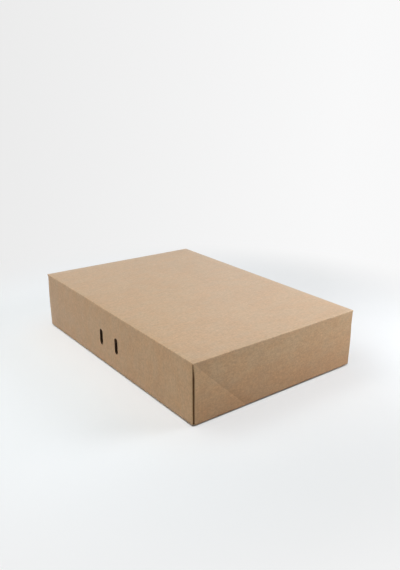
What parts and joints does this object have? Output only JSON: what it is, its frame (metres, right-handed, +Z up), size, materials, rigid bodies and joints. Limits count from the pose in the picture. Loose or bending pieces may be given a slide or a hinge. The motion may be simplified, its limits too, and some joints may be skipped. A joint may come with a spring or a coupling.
{
  "type": "shipping box",
  "caption": "Flat kraft cardboard shipping box: a full-depth lid slides down over a folded base tray, with glued creased corners and upright strap slots in the long walls.",
  "frame": {"origin": "middle of the underside of the base, on the ground", "axes": "+X along the long side, +Y along the short side, +Z up; one slotted long wall faces -Y"},
  "size_m": [0.4, 0.277, 0.085],
  "materials": {
    "base_board": "matt natural kraft board",
    "lid_board": "matt natural kraft board"
  },
  "bodies": {
    "base": {"base": "base_board"},
    "lid": {"lid": "lid_board"}
  },
  "joints": [
    {"name": "lid_lift", "type": "slide", "parent": "base", "child": "lid", "axis": [0, 0, 1], "range_m": [0, 0.13]}
  ]
}
